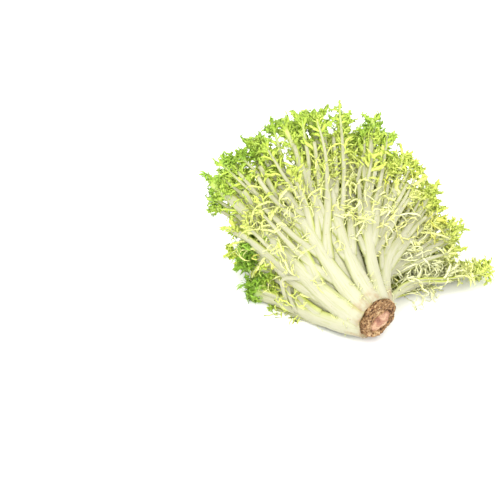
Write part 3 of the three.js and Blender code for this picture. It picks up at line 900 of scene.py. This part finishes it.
def seat_leaflets(rng, rib, first, gap, w):
    """Seats along a rib: place, heading, face, size, leaflet and part of the leaf's length of each.

    They lean in towards the heart, so that the backs of the ribs stay bare."""
    rows = []
    count = int(rib.length * (1 - first) / gap)
    for n in range(2 * count):
        side = 1 if n % 2 else -1
        t = first + (TUFT_START - first) * ((n + rng.uniform(0, 0.8)) / (2 * count)) ** CROWDING
        place, along, back, across = rib.one(t)
        leaf_t = rib.leaf_part(t)
        open_angle = math.radians(OPENS - OPENS_LESS * leaf_t + rng.uniform(-OPEN_STRAY, OPEN_STRAY))
        outer = w < 2
        stray = rng.random() < (STRAY_TIPS if leaf_t > 0.9 else STRAY_OUTER if outer else STRAY_INNER)
        leans = STRAY_LEANS if stray else OUTER_LEANS if outer else INNER_LEANS
        inward = math.radians(rng.uniform(*leans))
        outward = side * across * math.cos(inward) - back * math.sin(inward)
        face = back * math.cos(inward) + side * across * math.sin(inward)
        heading = along * math.cos(open_angle) + outward * math.sin(open_angle)
        stage = leaf_t + rng.uniform(-STAGE_STRAY, STAGE_STRAY) - LATER[w]
        kind = "thread" if stage < THREADS_END else "fringe" if stage < FRINGES_END else "frill"
        swell = SWELL[0] + SWELL[1] * math.sin(math.pi * max(0, (leaf_t - 0.15) / 0.85) ** 0.9)
        size = WHORLS[w]["leaflet"] * swell * LEAFLETS[kind]["long"] * rng.uniform(*LEAFLET_SIZES)
        seat = place + side * across * rib_half(rib, t) * 0.75 - back * rib.height * 0.1
        rows.append((seat, heading, face, size * MM, pick(rng, kind), leaf_t))
    return rows


def seat_tuft(rng, rib, count, w, longer):
    """Seats of the frills that crowd round the end of a rib, most of them on its inner side."""
    rows = []
    for n in range(count):
        t = TUFT_START - TUFT_RUN * (n / count) ** 1.3
        place, along, back, across = rib.one(t)
        round_it = TUFT_TURN * n + rng.uniform(-0.4, 0.4)
        outward = math.cos(round_it) * across + min(0.9 * math.sin(round_it), 0.25) * back
        open_angle = math.radians(rng.uniform(*TUFT_OPENS))
        heading = along * math.cos(open_angle) + outward * math.sin(open_angle)
        size = WHORLS[w]["leaflet"] * rng.uniform(*TUFT_SIZES) * longer * MM
        rows.append((place, heading, np.cross(along, outward), size, pick(rng, "frill"), rib.leaf_part(t)))
    return rows


def seat_shreds(rng, rib, count):
    """Seats of the curled shreds that torn margins left along the foot of a rib."""
    rows = []
    for n in range(count):
        side = 1 if n % 2 else -1
        place, along, back, across = rib.one(TORN_START + TORN_APART * n)
        heading = unit(side * across * rng.uniform(0.3, 0.9) + 0.5 * along * rng.uniform(-1, 1) + 0.6 * back)
        seat = place + side * across * rib.width * 0.5 + back * rib.height * 0.3
        rows.append((seat, heading, back, rng.uniform(*TORN_SIZES) * MM, pick(rng, "fringe"), 0.3))
    return rows


LOW = 10  # leaves that rise less than this, in degrees, are the low ones
# Across the fan: between which turns in degrees leaves get thinner, spread their side ribs less
# and are greener or paler, and by how much in all. Far left they are greener and darker, partly their
# own outer green and partly painted shadow of a second head that lay beside it, most on the low ones.
THINS_RIGHT, THINS_RIGHT_LOW, THINS_LEFT = (5, 42, 0.55), (5, 42, 0.35), (-48, -60, 0.35)
CLOSES_RIGHT, CLOSES_LEFT = (-8, 6, 0.45), (-48, -58, 0.5)
GREEN, GREEN_STRAY = -0.18, 0.05
GREENS_LEFT, GREENS_AND_SHADES_EDGE, GREENS_AND_SHADES_EDGE_LOW = (20, -45, 0.27), (-50, -60, 0.12), (-50, -60, 0.2)
GREENS_RIGHT, PALES_RIGHT = (5, 25, 0.09), (14, 32, 0.13)
# (whorl, leaf) that stands up slim: how far its side ribs still spread, and how much greener it is.
SLIM_LEAVES = {(0, 2): (0.25, 0.3), (1, 2): (0.7, 0.05), (0, 3): (0.45, 0.05)}
UNDERNEATH = 0.55  # how full the leaves are that the head lies on
PRESSED_OUT = 2.1  # how much longer the end frills are of inner leaves that the head lies on
BROAD_ENDS = 1.3  # the same for the second and third whorl on the left, but not the tallest leaf
TALLEST = 40  # in degrees of rise
SWAY = 0.5  # how far leaflets are rolled about their length, in radians
WHORL_SLOTS = ["outer_leaf", "outer_leaf", "inner_leaf", "inner_leaf", "heart_leaf"]


def by_turn(rib, start, end, most):
    """What grows from nothing to most between two turns of the fan."""
    return most * float(smooth(rib.turn, start, end))


def add_seats(shape, rows, green, name):
    """The mesh of a leaf's ribs, with a loose point for each seat."""
    seat, heading, face, size, kind, leaf_t = (np.array(column) for column in zip(*rows))
    first = shape.count
    shape.add_points(seat[:, None], leaf_t=leaf_t, green=green)
    mesh = shape.mesh(name, "leaf_t", "tip", "rib", "green", "grain")
    for key, data_type, values in (
        ("seat", "BOOLEAN", np.ones(len(seat), bool)), ("heading", "FLOAT_VECTOR", heading),
        ("face", "FLOAT_VECTOR", face), ("size", "FLOAT", size), ("kind", "INT", kind),
    ):
        column = np.zeros((shape.count, *values.shape[1:]), values.dtype)
        column[first:] = values
        part = "vector" if values.ndim > 1 else "value"
        mesh.attributes.new(key, data_type, "POINT").data.foreach_set(part, column.ravel())
    return mesh


def grow_leaf(name, w, i):
    rng = np.random.default_rng(SEED + 1000 * w + i)
    rib = leaf_rib(w, i)
    low = rib.rise < LOW
    fullness = 1 - by_turn(rib, *(THINS_RIGHT_LOW if low else THINS_RIGHT))
    fullness -= 0 if low else by_turn(rib, *THINS_LEFT)
    slimming, greener = SLIM_LEAVES.get((w, i), (1, by_turn(rib, *GREENS_RIGHT)))
    openness = fullness * (1 - by_turn(rib, *CLOSES_RIGHT) - by_turn(rib, *CLOSES_LEFT)) * slimming
    branches = [side_rib(rng, rib, n, openness) for n in range(BRANCHES[w])]
    if rib.rise < 0 and -50 < rib.turn < 25:
        fullness *= UNDERNEATH
    green = GREEN + by_turn(rib, *GREENS_LEFT) + GREEN_STRAY * rng.uniform(-1, 1)
    # Far left the leaves turn greener and darker, partly as painted shadow, most on the low ones.
    green += greener - by_turn(rib, *PALES_RIGHT) + by_turn(rib, *(GREENS_AND_SHADES_EDGE_LOW if low else GREENS_AND_SHADES_EDGE))
    longer = 1.0
    if w in (1, 2) and rib.turn < 0 and rib.rise < TALLEST:
        longer = BROAD_ENDS
    if low and w > 1 and -30 < rib.turn < 25:
        longer = PRESSED_OUT
    shape = Shape()
    first = FIRST_LOW_RIGHT if low and rib.turn > 25 else FIRST_SEAT[w]
    rows = seat_leaflets(rng, rib, first, SEAT_GAP[w] / fullness, w)
    crowd = TUFT[w] + (TUFT_MORE if low and rib.turn < -50 else 0)
    rows += seat_tuft(rng, rib, crowd, w, longer) + seat_shreds(rng, rib, TORN[w])
    add_rib(shape, rib, green, 50 * w + i, RIB_STEPS, FOOT_BURIED)
    for n, branch in enumerate(branches):
        add_rib(shape, branch, green, 50 * w + i + 500 * (n + 1), BRANCH_STEPS)
        rows += seat_leaflets(rng, branch, FIRST_ON_FORK, SEAT_GAP[w] * BRANCH_GAP / fullness, w)
        crowd = 0 if n in SNAPPED else TUFT[w] // (3 if n < 4 else 2)
        rows += seat_tuft(rng, branch, crowd, w, longer)
    leaf = put(name, add_seats(shape, rows, green, name))
    finish = FINISHES[WHORL_SLOTS[w]]
    growth.apply(leaf, Leaflets=leaflets, Sway=SWAY, Seed=SEED + 10 * w + i, Finish=finish)
    return leaf


for w, whorl in enumerate(WHORLS):
    for i in range(leaf_count(whorl)):
        leaf = grow_leaf(f"{WHORL_SLOTS[w]}_{w + 1}_{i + 1:02d}", w, i)
        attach(leaf, "root")
        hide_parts(f"leaf_{w + 1}_{i + 1:02d}")

for template in list(leaflets.objects):
    bpy.data.objects.remove(template)
bpy.data.collections.remove(leaflets)

# ---- Pale core ----
# The short white stem inside the head, firm and juicy, which all the ribs grow from. It is one
# with the root end and tapers off among the heart leaves.

CORE = {"length": 52.0, "foot": 15.5, "tip": 3.0, "sides": 28, "steps": 16}
CORE_TAPER = 1.2  # above 1, it keeps its girth near the foot for longer
CORE_LOBES, CORE_TWIST, LOBE_DEEP, DENT_DEEP = 5, 9, 0.05, 0.02
core_shape = Shape()
angles = np.arange(CORE["sides"]) * math.tau / CORE["sides"]
ways = np.cos(angles)[:, None] * STEM_RIGHT - np.sin(angles)[:, None] * STEM_UP
rings = []
for k in range(CORE["steps"] + 1):
    part = k / CORE["steps"]
    radius = CORE["foot"] + (CORE["tip"] - CORE["foot"]) * part ** CORE_TAPER
    lobes = LOBE_DEEP * np.sin(CORE_LOBES * angles + CORE_TWIST * part)
    dents = DENT_DEEP * np.array([draw(k, n) for n in range(CORE["sides"])])
    rings.append(CROWN + CORE["length"] * part * STEM + (radius * (1 + lobes + dents))[:, None] * ways)
core_shape.add_tube(np.array(rings), rib=1.0, leaf_t=0.1)
core = put("pale_core", core_shape.mesh("pale_core", "leaf_t", "rib", "green", "grain"))
core.data.materials.append(FINISHES["heart_leaf"])
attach(core, "root")

# ---- Peeled strips ----
# Strips of the ribs' own skin, limp and pale, torn loose when the outermost leaves were pulled
# off. They hang over the ribs on the left, still grown to them at one end.


def on_rib(w, i, t, across, lift):
    """A place over the rib of leaf i of whorl w, in mm beside its middle line and off its back."""
    place, along, back, side = leaf_rib(w, i).one(t)
    return place + side * across + back * lift


# Each: where it hangs on, the two places it bends round and where it ends, as on_rib takes them,
# then its width and its thickness in mm.
STRIPS = [
    ((1, 4, 0.28, 0, 3), (0, 5, 0.32, -8, 8), (0, 5, 0.46, -12, 8), (1, 5, 0.57, 0, 18), 5.0, 1.1),
    ((1, 5, 0.60, 4, 16), (1, 5, 0.55, 0, 20), (0, 6, 0.66, 0, 6), (0, 6, 0.56, 0, 6), 4.0, 1.0),
    ((1, 5, 0.60, -3, 8), (1, 5, 0.55, -6, 8), (1, 5, 0.50, -6, 18), (0, 6, 0.53, 0, 6), 4.8, 1.1),
    ((1, 4, 0.42, -2, 4), (0, 5, 0.40, -4, 6), (0, 5, 0.44, -8, 6), (1, 5, 0.70, 0, 8), 4.4, 1.0),
    ((1, 4, 0.43, -4, 5), (0, 5, 0.36, -2, 6), (0, 5, 0.32, -6, 6), (1, 4, 0.28, -2, 4), 3.2, 0.9),
]
STRIP_FACING = unit(np.array([-0.2, -0.85, 0.45]))
STRIP_FINING = 0.6
STRIP_LEAF_SPAN = (0.2, 0.4)  # the part of a leaf whose colours they have
STRIP_KEY = 900  # of the first one's draws
skin = Shape()
for n, (*places, width, thick) in enumerate(STRIPS):
    ends = [on_rib(*place) for place in places]
    strip = Rib(ends, lambda t: STRIP_FACING + 0 * t, width, thick, STRIP_LEAF_SPAN)
    strip.fining, strip.waver = STRIP_FINING, 0.0
    add_rib(skin, strip, 0.0, STRIP_KEY + n, BRANCH_STEPS)
strips = put("peeled_strips", skin.mesh("peeled_strips", "leaf_t", "rib", "green", "grain"))
strips.data.materials.append(FINISHES["outer_leaf"])
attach(strips, "root")
